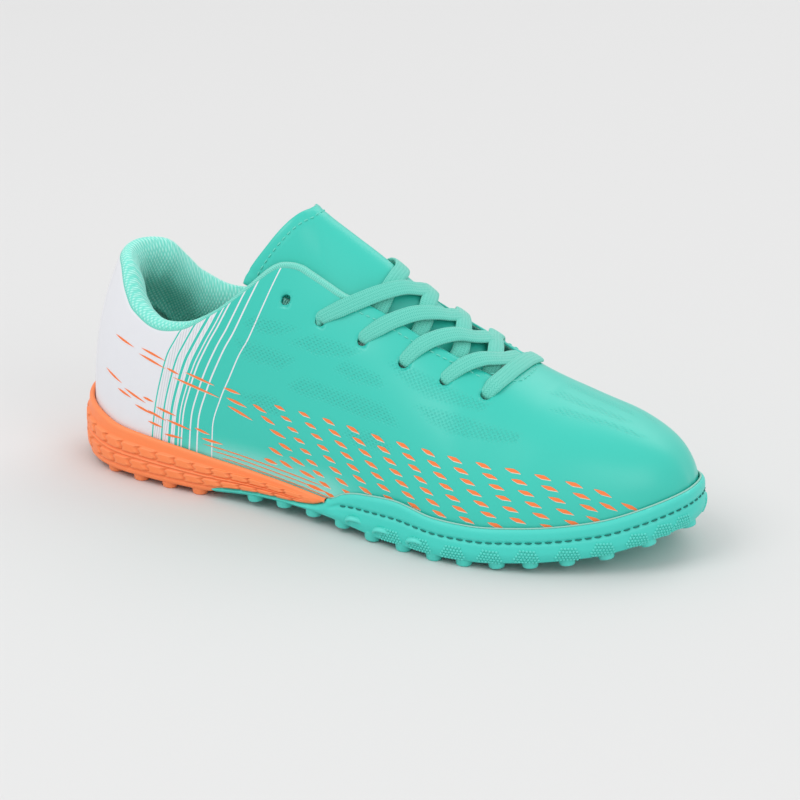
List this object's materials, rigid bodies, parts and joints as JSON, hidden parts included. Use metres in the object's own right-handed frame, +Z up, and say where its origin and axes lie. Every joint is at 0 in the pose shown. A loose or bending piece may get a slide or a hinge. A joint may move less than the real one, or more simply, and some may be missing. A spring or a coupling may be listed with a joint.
{
  "type": "football shoe",
  "caption": "Low-cut turf football shoe, right foot: coated synthetic upper, padded collar, flat laces, rubber sole unit with short studs.",
  "frame": {"origin": "middle of the shoe's box, on the ground plane that its studs stand on", "axes": "+X from heel to toe, +Y towards the inner (medial) side, +Z up"},
  "size_m": [0.2544, 0.0952, 0.1134],
  "materials": {
    "teal_rubber": "moulded rubber, satin",
    "orange_rubber": "moulded rubber, satin",
    "teal_synthetic": "coated synthetic leather, soft satin, printed",
    "lining_mesh": "fine knitted mesh over foam",
    "foot_bed": "knitted cover on foam",
    "lace_cloth": "flat woven polyester"
  },
  "bodies": {
    "root": {"outsole": "teal_rubber", "heel_cup": "orange_rubber", "upper": "teal_synthetic", "collar_lining": "lining_mesh", "tongue": "teal_synthetic", "insole": "foot_bed", "lace_bar": "lace_cloth", "lace_cross_1": "lace_cloth", "lace_cross_2": "lace_cloth", "lace_cross_3": "lace_cloth", "lace_cross_4": "lace_cloth"}
  },
  "joints": []
}
